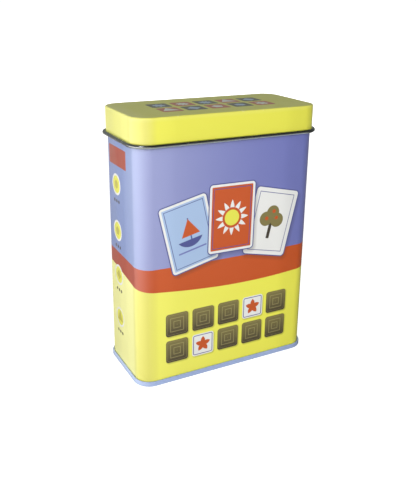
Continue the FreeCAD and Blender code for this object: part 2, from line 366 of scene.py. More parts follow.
def makePolygonGroup():
    tree, given, result = newGroup("polygonSymbol", "ShaderNodeTree", [
        ("Point", "Vector"), ("Size", "Float"), ("Sides", "Float")], ("Distance", "Float"))
    x, y, _ = parted(given["Point"])
    reach = vectorNode(tree, "LENGTH", joined(tree, x, y))
    share = (mathNode(tree, "ARCTAN2", x, y) * given["Sides"] / math.tau).math("FRACT") - 0.5
    flat = reach * (share * math.tau / given["Sides"]).math("COSINE")
    plug(tree, flat - given["Size"], result)
    return tree


boxGroup = makeBoxGroup()
symbolGroup = makeSymbolGroup()
polygonGroup = makePolygonGroup()


def boxShape(point, halfWidth, halfHeight, corner):
    return outOf(point.tree, "ShaderNodeGroup", (point, halfWidth, halfHeight, corner), node_tree=boxGroup)


def polygonShape(point, size, sides):
    return outOf(point.tree, "ShaderNodeGroup", (point, size, sides), node_tree=polygonGroup)


def moved(point, x, y):
    return vectorNode(point.tree, "ADD", point, (-x, -y, 0.0))


def circleShape(point, size):
    return vectorNode(point.tree, "LENGTH", point) - size


def symbolShape(point, size, petals, depth=0.45, spike=0.0):
    return outOf(point.tree, "ShaderNodeGroup", (point, size, petals, depth, spike), node_tree=symbolGroup)


def tileShape(point, grid):
    return boxShape(point, grid["half"], grid["half"], grid["corner"])


def figureShape(point, size, number):  # four polygons, then four many-pointed stars, and again
    sides = number.math("MODULO", 4.0) + 3.0
    polygon = polygonShape(point, size * 0.75, sides)
    star = symbolShape(point, size * 1.1, sides + 4.0, 0.4, 1.0)
    starred = (number / 4.0).math("FLOOR").math("MODULO", 2.0)
    return polygon + (star - polygon) * starred


# Finishes shared by the tin pieces
def newFinish(name, values=None):
    material = bpy.data.materials.new(name)
    material.use_nodes = True
    shader = material.node_tree.nodes["Principled BSDF"]
    for label, value in (values or {}).items():
        shader.inputs[label].default_value = value
    return material, material.node_tree, shader.inputs


def objectPoint(tree):  # the piece's own place, in millimetres
    return stretched(tree, outOf(tree, "ShaderNodeTexCoord", (), "Object"), 1 / mm)


def relief(tree, inputs, height, distance, normal=None):
    bump = {"Height": height, "Distance": distance * mm}
    if normal:
        bump["Normal"] = normal
    plug(tree, outOf(tree, "ShaderNodeBump", bump), inputs["Normal"])


steel = {"sheen": ink(184, 187, 192), "dull": ink(136, 139, 147), "edge": ink(110, 112, 118)}


def makeTinplate():
    material, tree, inputs = newFinish("bareTinplate", {"Metallic": 1.0})
    place = objectPoint(tree)
    x, y, z = parted(place)
    rolled = grain(joined(tree, x * 0.02, y * 0.6, z * 2.2), 1.0, 3.0, 0.6)  # rolling lines run round
    clouded = grain(place, 0.09, 3.0)
    plug(tree, mixInk(rolled * 0.55 + clouded * 0.45, steel["dull"], steel["sheen"]), inputs["Base Color"])
    plug(tree, 0.14 + rolled * 0.14 + clouded * 0.08, inputs["Roughness"])
    relief(tree, inputs, rolled, 0.006)
    return material


def makeCutEdge():
    material, tree, inputs = newFinish("cutSteelEdge", {"Metallic": 1.0})
    burr = grain(objectPoint(tree), 6.0, 4.0, 0.7)
    plug(tree, mixInk(burr, steel["edge"], steel["dull"]), inputs["Base Color"])
    plug(tree, 0.38 + burr * 0.2, inputs["Roughness"])
    relief(tree, inputs, burr, 0.02)
    return material


bareTinplate = makeTinplate()
cutEdge = makeCutEdge()


def easedCorners(tree, place):
    # bent sheet springs back, so the flat walls begin to turn a little before each corner
    x, y, _ = parted(vectorNode(tree, "ABSOLUTE", place))
    into = (x - wallCore[0]).math("MINIMUM", y - wallCore[1])
    reach, depth = tin["ease"]
    ease = {"Value": into, "From Min": -reach, "From Max": tin["corner"] * 0.707, "To Min": 1.0, "To Max": 0.0}
    height = outOf(tree, "ShaderNodeMapRange", ease, interpolation_type="SMOOTHSTEP")
    _, _, upward = parted(outOf(tree, "ShaderNodeTexCoord", (), "Normal"))
    bump = {"Height": height, "Distance": depth * mm, "Strength": 1.0 - upward.math("ABSOLUTE")}
    return outOf(tree, "ShaderNodeBump", bump)


# mask of the front-left corner, where a painted highlight tone goes
def frontLeftCorner(place):
    x, y, _ = parted(place)
    into = (x * -1.0 - wallCore[0]).math("MINIMUM", y * -1.0 - wallCore[1])
    return above(into, *paintedLight["corner"])


def lacquer(tree, inputs, place, colour, bare=None):
    # ink under clear varnish: faint roller texture, slow waves of the sheet, a few handling marks
    peel = grain(place, 0.9, 2.0)
    wave = grain(place, 0.035, 1.0)
    handled = above(grain(place, 0.16, 5.0, 0.62), 0.6, 0.12)
    x, y, z = parted(place)
    scratch = above(grain(joined(tree, x * 0.9, y * 0.9, z * 0.06), 2.0, 2.0), 0.74, 0.02)
    rough = 0.31 + handled * 0.05 + scratch * 0.06 + peel * 0.03
    if bare:
        metal = grain(joined(tree, x * 0.03, y * 0.03, z * 2.2), 1.0, 3.0, 0.6)
        colour = mixInk(bare, colour, mixInk(metal, steel["dull"], steel["sheen"]))
        plug(tree, bare * 0.92, inputs["Metallic"])
        rough = rough - bare * 0.04
    plug(tree, colour, inputs["Base Color"])
    plug(tree, rough, inputs["Roughness"])
    relief(tree, inputs, peel * 0.05 + wave, 0.12, easedCorners(tree, place))


varnish = {"Coat Weight": 0.8, "Coat Roughness": 0.2}
palette = {
    "blue": ink(108, 114, 178),
    "highlightBlue": ink(152, 158, 200),
    "highlightCoolBlue": ink(130, 156, 197),
    "deepBlue": ink(70, 76, 140),
    "sky": ink(160, 184, 218),
    "orange": ink(191, 79, 23),
    "darkOrange": ink(156, 50, 26),
    "yellow": ink(223, 220, 76),
    "brightYellow": ink(231, 228, 80),
    "highlightYellow": ink(236, 234, 182),
    "cornerHighlightYellow": ink(211, 205, 98),
    "white": ink(226, 226, 224),
    "ivory": ink(250, 250, 238),
    "seamBlue": ink(153, 168, 212),
    "highlightSeamBlue": ink(176, 188, 222),
    "brass": ink(186, 176, 62),
    "sand": ink(182, 172, 112),
    "olive": ink(124, 114, 66),
    "umber": ink(56, 47, 36),
}

# Tin: all sizes in millimetres, u runs outward from the wall and z up from the ground
tin = {
    "width": 84.0, "depth": 38.0, "corner": 6.6, "cornerSteps": 16, "sheet": 0.25,
    "seamLayer": 0.3, "seamHeight": 2.3, "hookRoom": 0.2, "rimHeight": 116.4, "rimBend": 0.475, "rimTurn": 280,
    "lockPlace": -1.45, "lockLine": 0.3, "lockDepth": 0.1, "lockFold": (3.2, 0.5, 4.95, 113.6),
    "lockStep": ((0.3, 0.0), (0.25, 0.04), (0.25, 0.24), (0.0, 0.27)),
    "unprintedRim": 113.9, "unprintedSeam": 2.3, "ease": (10.0, 1.5),
}
halfSheet = tin["sheet"] / 2
wallCore = (tin["width"] / 2 - tin["corner"], tin["depth"] / 2 - tin["corner"])
quarterTurn = tin["corner"] * math.pi / 2
girth = 4 * (wallCore[0] + wallCore[1] + quarterTurn)
sideMiddle = wallCore[0] + quarterTurn + wallCore[1]  # along the wall, front middle to side middle


def layerMiddle(number):
    return tin["seamLayer"] * number - halfSheet


def sweepTin(name, section, printed, seamDepth=0.0, plates=(0.0, 0.0)):
    return sweep(name, {
        "Section": section, "Path Width": tin["width"] * mm, "Path Depth": tin["depth"] * mm,
        "Corner Radius": tin["corner"] * mm, "Corner Steps": tin["cornerSteps"],
        "Seam Place": tin["lockPlace"] * mm, "Seam Line": tin["lockLine"] * mm, "Seam Depth": seamDepth * mm,
        "Printed Plate": plates[0] * mm, "Bare Plate": plates[1] * mm,
        "Printed": printed, "Bare": bareTinplate, "Edge": cutEdge})


def settle(piece, node, body):
    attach(piece, body)
    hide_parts(node)


# Front, sides and back of the print
front = {
    "fan": [
        {"middle": (-19.5, 67.0), "turn": 13.0, "field": "sky", "picture": "boat"},
        {"middle": (20.5, 66.5), "turn": -13.0, "field": "white", "picture": "tree"},
        {"middle": (0.6, 71.5), "turn": -1.0, "field": "orange", "picture": "sun"},
    ],
    "card": (11.4, 15.6, 1.9), "border": 1.5,
    "tiles": {"left": -31.5, "low": 8.2, "pitch": 12.6, "columns": 5, "rows": 2, "half": 5.3, "corner": 1.3,
              "open": (1, 8)},
}
side = {
    "label": (2.75, 97.5, 9.25, 4.0, 0.5), "disc": (4.75, 23.4, 20.6, 4), "rim": 4.65, "field": 3.75,
    "symbol": 1.7, "dots": (2.4, 7.2, 0.75), "reach": 16.0,
}
back = {
    "panel": (16.5, 78.5, 12.5, 17.5, 2.2), "left": 6.5, "low": 63.5, "pitch": 10.0, "columns": 2, "rows": 3,
    "half": 4.1, "corner": 1.0, "tints": [(0.0, "blue"), (0.3, "orange"), (0.55, "yellow"), (0.8, "olive")],
}
stripe = {"crest": 12.0, "low": (45.2, 5.0), "high": (54.4, 1.2)}  # heights, and how far they swing round the tin
# painted light: where painted highlights pale the inks on the left of the front, tone them at its corner, pale them on
# the left side and at the lid's left end, and where painted shade darkens the stripe
paintedLight = {
    "front": (38.0, -46.0, 1.8), "frontEnd": (-49.0, 7.0), "corner": (0.6, 2.4),
    "side": (15.5, 5.0), "sideStripe": (19.0, 6.0), "leftEnd": (-39.0, 4.0),
}


def cells(x, y, grid):
    # local point, number and inside mask of a grid of like cells
    column = (x - grid["left"]) / grid["pitch"]
    row = (y - grid["low"]) / grid["pitch"]
    local = joined(x.tree, (column.math("FRACT") - 0.5) * grid["pitch"], (row.math("FRACT") - 0.5) * grid["pitch"])
    number = column.math("FLOOR") + row.math("FLOOR") * grid["columns"]
    inColumns = (column - grid["columns"] / 2).math("ABSOLUTE").math("LESS_THAN", grid["columns"] / 2)
    inRows = (row - grid["rows"] / 2).math("ABSOLUTE").math("LESS_THAN", grid["rows"] / 2)
    return local, number, inColumns * inRows


def drawBoat(colour, point):
    hull = circleShape(moved(point, 0.0, 1.2), 6.6)
    _, up, _ = parted(point)
    hull = hull.math("MAXIMUM", up + 2.2)
    sail = polygonShape(moved(point, 0.6, 2.0), 2.5, 3.0)
    mast = boxShape(moved(point, 0.6, 2.0), 0.3, 5.4, 0.1)
    colour = paint(colour, "deepBlue", hull.math("MINIMUM", mast))
    colour = paint(colour, "orange", sail)
    line = boxShape(moved(point, 0.0, -7.0), 6.6, 0.35, 0.3)
    return paint(colour, "blue", line)


def drawTree(colour, point):
    trunk = boxShape(moved(point, 0.0, -3.4), 0.8, 4.2, 0.3)
    crown = circleShape(moved(point, 0.0, 4.4), 3.2)
    for x, y in ((-2.9, 1.2), (2.9, 1.2)):
        crown = crown.math("MINIMUM", circleShape(moved(point, x, y), 3.3))
    colour = paint(colour, "umber", trunk)
    colour = paint(colour, "olive", crown)
    fruit = circleShape(moved(point, -2.6, 1.4), 0.85)
    for x, y in ((2.4, 2.2), (0.4, 5.0)):
        fruit = fruit.math("MINIMUM", circleShape(moved(point, x, y), 0.85))
    return paint(colour, "orange", fruit)


def drawSun(colour, point):
    rays = symbolShape(point, 8.0, 12.0, 0.5, 1.0)
    disc = circleShape(point, 3.5)
    gap = circleShape(point, 4.6)
    rays = rays.math("MAXIMUM", gap * -1.0)
    colour = paint(colour, "white", rays)
    return paint(colour, "yellow", disc)


pictures = {"boat": drawBoat, "tree": drawTree, "sun": drawSun}


def drawFan(tree, colour, x, z):
    flat = joined(tree, x, z)
    halfWidth, halfHeight, corner = front["card"]
    for card in front["fan"]:
        inputs = {"Vector": flat, "Location": (*card["middle"], 0), "Rotation": (0, 0, math.radians(card["turn"]))}
        local = outOf(tree, "ShaderNodeMapping", inputs, vector_type="TEXTURE")
        shade = below(boxShape(moved(local, 0.7, -1.1), halfWidth, halfHeight, corner), 0.2, 1.0)
        colour = mixInk(shade * 0.38, colour, palette["umber"])
        edge = boxShape(local, halfWidth, halfHeight, corner)
        colour = paint(colour, "deepBlue", edge)
        colour = paint(colour, "white", edge, -0.45)
        colour = paint(colour, card["field"], edge, -front["border"])
        colour = paint(colour, "deepBlue", (edge + front["border"] + 0.9).math("ABSOLUTE"), 0.14)
        colour = pictures[card["picture"]](colour, local)
    return colour


def drawTiles(colour, x, z, place):
    grid = front["tiles"]
    local, number, inside = cells(x, z, grid)
    edge = tileShape(local, grid)
    _, up, _ = parted(local)
    shade = below(tileShape(moved(local, 0.4, -0.5), grid), 0.0, 0.5)
    colour = mixInk(inside * shade * 0.45, colour, palette["umber"])
    mottle = grain(place, 0.5, 4.0, 0.6)
    closed = mixInk((up / 11.0 + 0.34 + mottle * 0.36).math("MAXIMUM", 0.0), palette["umber"], palette["olive"])
    rings = below(((edge + 0.8) / 1.55).math("FRACT"), 0.2)
    closed = mixInk(rings * below(edge, -0.7) * 0.5, closed, palette["sand"])
    first, second = grid["open"]
    shown = number.math("COMPARE", first, 0.1) + number.math("COMPARE", second, 0.1)
    opened = paint(palette["white"], "orange", symbolShape(local, 3.7, 5.0, 0.5, 1.0))
    opened = paint(opened, "deepBlue", (edge + 0.7).math("ABSOLUTE"), 0.18)
    return mixInk(inside * below(edge), colour, mixInk(shown, closed, opened))


def drawSides(tree, colour, s, z):
    y = s.math("ABSOLUTE") - sideMiddle
    atY, atZ, halfWidth, halfHeight, corner = side["label"]
    label = boxShape(joined(tree, y - atY, z - atZ), halfWidth, halfHeight, corner)
    colour = paint(colour, "darkOrange", label)
    atY, atZ, pitch, count = side["disc"]
    step = (z - atZ) / pitch + 0.5
    number = step.math("FLOOR")
    local = joined(tree, y - atY, (step.math("FRACT") - 0.5) * pitch)
    inRange = (number - (count - 1) / 2).math("ABSOLUTE").math("LESS_THAN", count / 2)
    inRange = inRange * y.math("ABSOLUTE").math("LESS_THAN", side["reach"])
    reach = vectorNode(tree, "LENGTH", local)
    colour = mixInk(inRange * below(reach, side["rim"]), colour, palette["white"])
    colour = mixInk(inRange * below(reach, side["field"]), colour, palette["yellow"])
    symbol = polygonShape(local, side["symbol"], number + 3.0)
    colour = mixInk(inRange * below(symbol), colour, palette["brass"])
    gap, drop, size = side["dots"]
    along = ((y - atY) / gap + 1.5).math("FRACT") * gap - gap / 2
    dots = circleShape(joined(tree, along, (step.math("FRACT") - 0.5) * pitch + drop), size)
    near = (y - atY).math("ABSOLUTE").math("LESS_THAN", gap * 1.5)
    return mixInk(inRange * near * below(dots), colour, palette["umber"])


def drawBack(tree, colour, s, z):
    fromSeam = girth / 2 - s.math("ABSOLUTE")
    atX, atZ, halfWidth, halfHeight, corner = back["panel"]
    panel = boxShape(joined(tree, fromSeam - atX, z - atZ), halfWidth, halfHeight, corner)
    colour = paint(colour, "deepBlue", panel)
    colour = paint(colour, "white", panel, -0.5)
    local, number, inside = cells(fromSeam, z, back)
    number = number + s.math("GREATER_THAN", 0.0) * 6.0
    edge = tileShape(local, back)
    tint = inkRamp(tree, (number * 0.37).math("FRACT"), [(start, palette[label]) for start, label in back["tints"]])
    tile = paint(tint, "white", figureShape(local, 2.6, number))
    return mixInk(inside * below(edge), colour, tile)


def makePrintedTin():
    material, tree, inputs = newFinish("printedTin", varnish)
    place = objectPoint(tree)
    u, v, _ = parted(outOf(tree, "ShaderNodeUVMap", uv_map="wrap"))
    s = ((u - 0.5) * girth).math("WRAP", girth / 2, -girth / 2)
    z = v * tin["rimHeight"]
    swing = ((s - stripe["crest"]) * (math.tau / girth)).math("COSINE")
    # painted highlight: the blue and yellow grow paler towards the left of the front
    right, left, power = paintedLight["front"]
    paintedFrontHighlight = outOf(tree, "ShaderNodeMapRange", {0: s, 1: right, 2: left}).math("POWER", power)
    paintedFrontHighlight = paintedFrontHighlight * above(s, *paintedLight["frontEnd"])
    # painted highlight: the left side and the start of its corner are paler and cooler
    fromLeft = (s + sideMiddle).math("ABSOLUTE")
    paintedSideHighlight = below(fromLeft, *paintedLight["side"])
    yellow = mixInk((paintedFrontHighlight * 0.15).math("MAXIMUM", paintedSideHighlight * 0.65), palette["brightYellow"], palette["highlightYellow"])
    # painted highlight: the yellow on the front-left corner is toned creamier, like its highlight
    yellow = mixInk(frontLeftCorner(place) * 0.9, yellow, palette["cornerHighlightYellow"])
    blue = mixInk(paintedSideHighlight * 0.5, mixInk(paintedFrontHighlight, palette["blue"], palette["highlightBlue"]), palette["highlightCoolBlue"])
    # painted shade: the stripe's ink is darker on the left side and its corner
    red = mixInk(below(fromLeft, *paintedLight["sideStripe"]) * 0.9, palette["orange"], palette["darkOrange"])
    (low, lowSwing), (high, highSwing) = stripe["low"], stripe["high"]
    colour = mixInk(above(z - (low - swing * lowSwing)), yellow, red)
    colour = mixInk(above(z - (high - swing * highSwing)), colour, blue)
    colour = drawFan(tree, colour, s, z)
    colour = drawTiles(colour, s, z, place)
    colour = drawSides(tree, colour, s, z)
    colour = drawBack(tree, colour, s, z)
    atSeam = below(girth / 2 - s.math("ABSOLUTE"), tin["unprintedSeam"])
    bare = atSeam.math("MAXIMUM", above(z, tin["unprintedRim"]))
    lacquer(tree, inputs, place, colour, bare)
    return material


def wrapUv(mesh):
    # u is the length round the wall from the middle of the front, v the height
    layer = mesh.uv_layers.new(name="wrap")
    count = len(mesh.loops)
    loopVertex = np.zeros(count, int)
    mesh.loops.foreach_get("vertex_index", loopVertex)
    points = np.zeros(len(mesh.vertices) * 3)
    mesh.vertices.foreach_get("co", points)
    points = points.reshape(-1, 3)[loopVertex] / mm
    loopFace = np.repeat(np.arange(len(mesh.polygons)), [face.loop_total for face in mesh.polygons])
    middles = np.array([face.center for face in mesh.polygons])[loopFace] / mm
    coreX, coreY = wallCore
    hand = np.where(middles[:, 0] < 0, -1.0, 1.0)
    onBack = (middles[:, 1] > coreY) & (np.abs(middles[:, 0]) < coreX)
    hand[onBack] = 1.0
    x, y = points[:, 0] * hand, points[:, 1]
    beyond = np.where(x > coreX, np.arctan2(np.maximum(x - coreX, 0), np.maximum(np.abs(y) - coreY, 1e-9)), 0)
    frontPart = np.minimum(x, coreX) + tin["corner"] * beyond
    sidePart = coreX + quarterTurn + y + coreY
    backPart = coreX + 2 * quarterTurn + 2 * coreY + coreX - np.minimum(x, coreX) - tin["corner"] * beyond
    s = np.where(y < -coreY, frontPart, np.where(y > coreY, backPart, sidePart)) * hand
    uv = np.stack([s / girth + 0.5, points[:, 2] / tin["rimHeight"]], axis=1)
    layer.data.foreach_set("uv", uv.ravel())


def makeTinBody():
    hookEnd = tin["seamHeight"] - tin["sheet"] - tin["hookRoom"]
    hookBend = 2 * tin["seamLayer"] + halfSheet
    rimBend = tin["rimHeight"] - halfSheet - tin["rimBend"]
    inner, outer = foldedSheet((layerMiddle(2), hookEnd), -90, tin["sheet"], [
        hookEnd - hookBend, (-180, tin["seamLayer"]), rimBend - hookBend, (tin["rimTurn"], tin["rimBend"])])
    flags = [1.0] * len(outer) + [0.0] * len(inner)
    section = makeSection("bodySection", outer + inner[::-1], flags, True)
    piece = sweepTin("tinBody", section, makePrintedTin(), tin["lockDepth"])
    bpy.data.objects.remove(section)
    wrapUv(piece.data)
    return piece


tinBody = makeTinBody()
settle(tinBody, "tin_body", "tin")
print("tin body:", len(tinBody.data.polygons), "faces")


def makeLockFold():
    # the folded layers of the lock seam, inside the back wall
    width, bulge, low, high = tin["lockFold"]
    wall = tin["depth"] / 2 - halfSheet
    deep = tin["depth"] / 2 - tin["sheet"] - bulge
    half = width / 2
    bend = tin["sheet"]
    turns = np.linspace(0.25, math.pi / 2, 6)
    outline = [(-half, wall), (-half, deep + bend)]
    outline += [(-half + bend - bend * math.cos(a), deep + bend - bend * math.sin(a)) for a in turns]
    outline += [(half - inset, deep + rise) for inset, rise in tin["lockStep"]] + [(half, wall)]
    editor = bmesh.new()
    base = editor.faces.new([editor.verts.new((x * mm, y * mm, low * mm)) for x, y in outline])
    raised = bmesh.ops.extrude_face_region(editor, geom=[base])["geom"]
    tops = [v for v in raised if isinstance(v, bmesh.types.BMVert)]
    bmesh.ops.translate(editor, verts=tops, vec=(0, 0, (high - low) * mm))
    bmesh.ops.recalc_face_normals(editor, faces=editor.faces)
    mesh = bpy.data.meshes.new("tinLockFold")
    editor.to_mesh(mesh)
    editor.free()
    mesh.materials.append(bareTinplate)
    mesh.shade_smooth()
    mesh.set_sharp_from_angle(angle=math.radians(35))
    piece = bpy.data.objects.new("tinLockFold", mesh)
    scene.collection.objects.link(piece)
    return piece


settle(makeLockFold(), "tin_body", "tin")

# Bottom: floor panel, step, ring and the folds that hook the tube
bottom = {"recess": 2.6, "step": 0.5, "stepTurn": 45, "stepBend": 0.525, "ring": 1.4, "bend": 0.625, "fold": 0.325}


def makeBlueLacquer():
    material, tree, inputs = newFinish("blueLacquer", {"Coat Weight": 0.5, "Coat Roughness": 0.1})
    place = objectPoint(tree)
    cloud = grain(place, 0.12, 3.0)
    x, _, z = parted(place)
    # painted highlight: the seam's left end is paler
    colour = paint(palette["seamBlue"], "highlightSeamBlue", x, *paintedLight["leftEnd"])
    colour = mixInk(cloud * 0.5, colour, palette["sky"])
    rubbed = above(grain(place, 1.7, 4.0, 0.7), 0.64, 0.05) * below(z, 0.25, 0.2)  # where it stands on tables
    lacquer(tree, inputs, place, colour, rubbed)
    return material


def makeTinBottom():
    inner, outer = layerMiddle(-1), layerMiddle(3)
    stepTurn = math.radians(bottom["stepTurn"])
    panel = bottom["recess"] + bottom["step"] + halfSheet
    ring = bottom["recess"] + halfSheet
    bendDrop = bottom["stepBend"] * (1 - math.cos(stepTurn))
    bendRun = bottom["stepBend"] * math.sin(stepTurn)
    slantDrop = panel - ring - 2 * bendDrop
    panelEdge = inner - bottom["bend"] - bottom["ring"] - 2 * bendRun - slantDrop / math.tan(stepTurn)
    topBend = tin["seamHeight"] - halfSheet - tin["seamLayer"]
    hookEnd = tin["seamLayer"] + tin["sheet"] + tin["hookRoom"]
    upper, lower = foldedSheet((panelEdge, panel), 0, tin["sheet"], [
        (-bottom["stepTurn"], bottom["stepBend"]), slantDrop / math.sin(stepTurn),
        (bottom["stepTurn"], bottom["stepBend"]), bottom["ring"],
        (-90, bottom["bend"]), ring - bottom["bend"] - halfSheet - bottom["fold"],
        (90, bottom["fold"]), outer - inner - 2 * bottom["fold"],
        (90, bottom["fold"]), topBend - halfSheet - bottom["fold"],
        (180, tin["seamLayer"]), topBend - hookEnd])
    flags = [0.0] * len(upper) + [1.0] * len(lower)
    section = makeSection("bottomSection", upper + lower[::-1], flags, False)
    piece = sweepTin("tinBottom", section, makeBlueLacquer(), plates=(lower[0][1], upper[0][1]))
    bpy.data.objects.remove(section)
    return piece


tinBottom = makeTinBottom()
settle(tinBottom, "tin_bottom", "tin")
print("tin bottom:", len(tinBottom.data.polygons), "faces")

# Lid: flat top, rounded edge, skirt and a curl whose outside is the bare side of the sheet
lid = {
    "top": 116.8, "height": 11.9, "clearance": 0.5, "topBend": 0.45, "curlBend": 0.71, "curlTurn": 300,
    "tiles": {"left": -27.5, "low": -11.0, "pitch": 11.0, "columns": 5, "rows": 2, "half": 4.6, "corner": 1.1},
}


def makeLidPrint():
    material, tree, inputs = newFinish("yellowLacquer", varnish)
    place = objectPoint(tree)
    x, y, z = parted(place)
    grid = lid["tiles"]
    local, number, inside = cells(x, y, grid)
    edge = tileShape(local, grid)
    odd = number.math("MODULO", 2.0)
    tile = mixInk(odd, palette["orange"], palette["umber"])
    tile = mixInk(below(figureShape(local, 2.9, number)), tile, mixInk(odd, palette["white"], palette["sky"]))
    colour = mixInk(inside * below(edge), palette["yellow"], tile)
    grow = lid["clearance"] + tin["sheet"]
    outline = boxShape(joined(tree, x, y), tin["width"] / 2 + grow, tin["depth"] / 2 + grow, tin["corner"] + grow)
    # painted highlight: the lid's left end is paler
    colour = mixInk(below(x, *paintedLight["leftEnd"]) * 0.3, colour, palette["highlightYellow"])
    # painted highlight: the skirt's yellow on the front-left corner is toned creamier, like its highlight
    onCorner = frontLeftCorner(place) * below(z, lid["top"] - 0.6, 0.5)
    colour = mixInk(onCorner * 0.9, colour, palette["cornerHighlightYellow"])
    paintedBendHighlight = above(outline, -0.6, 0.2) * above(z, lid["top"] - 0.85, 1.1)  # painted highlight along the top bend and just below it
    colour = mixInk(paintedBendHighlight * 0.16, colour, palette["highlightYellow"])
    onEdge = below((outline + 0.3).math("ABSOLUTE"), 0.25, 0.15) * above(z, lid["top"] - 0.5, 0.2)
    worn = above(grain(place, 0.8, 4.0, 0.7), 0.66, 0.03) * onEdge
    lacquer(tree, inputs, place, mixInk(worn * 0.7, colour, palette["ivory"]))
    return material


def makeTinLid():
    skirt = lid["clearance"] + halfSheet
    top = lid["top"] - halfSheet
    curl = lid["top"] - lid["height"] + lid["curlBend"] + halfSheet
    outer, inner = foldedSheet((skirt - lid["topBend"], top), 0, tin["sheet"], [
        (-90, lid["topBend"]), top - lid["topBend"] - curl, (lid["curlTurn"], lid["curlBend"])])
    flags = [1.0] * len(outer) + [0.0] * len(inner)
    section = makeSection("lidSection", outer + inner[::-1], flags, False)
    piece = sweepTin("tinLid", section, makeLidPrint(), plates=(outer[0][1], inner[0][1]))
    bpy.data.objects.remove(section)
    return piece


tinLid = makeTinLid()
settle(tinLid, "tin_lid", "lid")
print("tin lid:", len(tinLid.data.polygons), "faces")

# Cards: 18 pairs, every face from one finish that reads the pair's number
deck = {
    "width": 74.0, "height": 105.0, "thickness": 0.85, "corner": 5.0, "cornerSteps": 8, "pressed": 0.13,
    "base": 3.4, "front": -16.23, "pitch": 0.88, "pairs": 18, "border": 4.0,
    "tones": ("orange", "deepBlue", "olive", "blue", "umber", "sky"),
    "disc": 28.0, "discField": 26.8, "figures": (20.0, 7.0), "cornerInset": 10.5, "cornerFigure": 3.2,
    "checks": {"left": -70.0, "low": -70.0, "pitch": 7.0, "columns": 20, "rows": 20}, "roughness": 0.36,
    "gloss": {"Coat Weight": 0.15, "Coat Roughness": 0.25},
}
cardMiddle = deck["base"] + deck["height"] / 2


def board(tree, inputs, place, colour, gloss):
    fibre = grain(place, 2.4, 4.0, 0.65)
    linen = grain(place, 0.7, 2.0)
    plug(tree, colour, inputs["Base Color"])
    plug(tree, gloss + fibre * 0.12, inputs["Roughness"])
    relief(tree, inputs, fibre * 0.3 + linen, 0.012)


def cardShape(tree, x, z):
    local = joined(tree, x, z - cardMiddle)
    return local, boxShape(local, deck["width"] / 2, deck["height"] / 2, deck["corner"])


def makeCardFace():
    material, tree, inputs = newFinish("cardPicture", deck["gloss"])
    place = objectPoint(tree)
    x, _, z = parted(place)
    pair = outOf(tree, "ShaderNodeAttribute", (), "Fac", attribute_name="pair")
    local, edge = cardShape(tree, x, z)
    count = len(deck["tones"])
    stops = [(number / count, palette[label]) for number, label in enumerate(deck["tones"])]
    tone = inkRamp(tree, pair.math("MODULO", count) / count + 0.02, stops)
    sides = pair.math("MODULO", count) + 3.0
    kind = (pair / count).math("FLOOR")

    def figure(point, size):  # a rosette, a star or a polygon
        star = symbolShape(point, size * 1.15, sides + 4.0, 0.42, 1.0)
        rosette = symbolShape(point, size * 1.1, sides + 2.0, 0.3)
        shape = polygonShape(point, size * 0.8, sides)
        shape = shape + (star - shape) * kind.math("COMPARE", 1.0, 0.1)
        return below(shape + (rosette - shape) * kind.math("COMPARE", 0.0, 0.1))

    colour = paint(palette["white"], "yellow", edge, -deck["border"])
    colour = mixInk(below((edge + deck["border"]).math("ABSOLUTE"), 0.5), colour, tone)
    colour = mixInk(below(circleShape(local, deck["disc"])), colour, tone)
    colour = paint(colour, "white", circleShape(local, deck["discField"]))
    large, small = deck["figures"]
    colour = mixInk(figure(local, large), colour, tone)
    colour = mixInk(figure(local, small), colour, palette["yellow"])
    px, pz, _ = parted(vectorNode(tree, "ABSOLUTE", local))
    inset = deck["cornerInset"]
    corner = joined(tree, px - (deck["width"] / 2 - inset), pz - (deck["height"] / 2 - inset))
    colour = mixInk(figure(corner, deck["cornerFigure"]), colour, tone)
    board(tree, inputs, place, colour, deck["roughness"])
    return material


def makeCardBack():
    material, tree, inputs = newFinish("cardBack", deck["gloss"])
    place = objectPoint(tree)
    x, _, z = parted(place)
    _, edge = cardShape(tree, x, z)
    across, along = (x + z - cardMiddle) * 0.7071, (x - z + cardMiddle) * 0.7071
    grid = deck["checks"]
    tile, number, _ = cells(across, along, grid)
    checks = (number + (number / grid["columns"]).math("FLOOR")).math("MODULO", 2.0)
    field = mixInk(checks, palette["blue"], palette["deepBlue"])
    field = paint(field, "sky", circleShape(tile, 0.9))
    colour = mixInk(below(edge, -deck["border"]), palette["white"], field)
    colour = paint(colour, "deepBlue", (edge + deck["border"]).math("ABSOLUTE"), 0.5)
    board(tree, inputs, place, colour, deck["roughness"])
    return material


def makeCardEdge():
    material, tree, inputs = newFinish("cutBoard", {"Roughness": 0.85})
    place = objectPoint(tree)
    x, y, z = parted(place)
    plies = grain(joined(tree, x * 0.15, y * 6.0, z * 0.15), 1.0, 3.0, 0.6)
    plug(tree, mixInk(plies, ink(198, 190, 172), ink(236, 231, 219)), inputs["Base Color"])
    relief(tree, inputs, plies, 0.03)
    return material


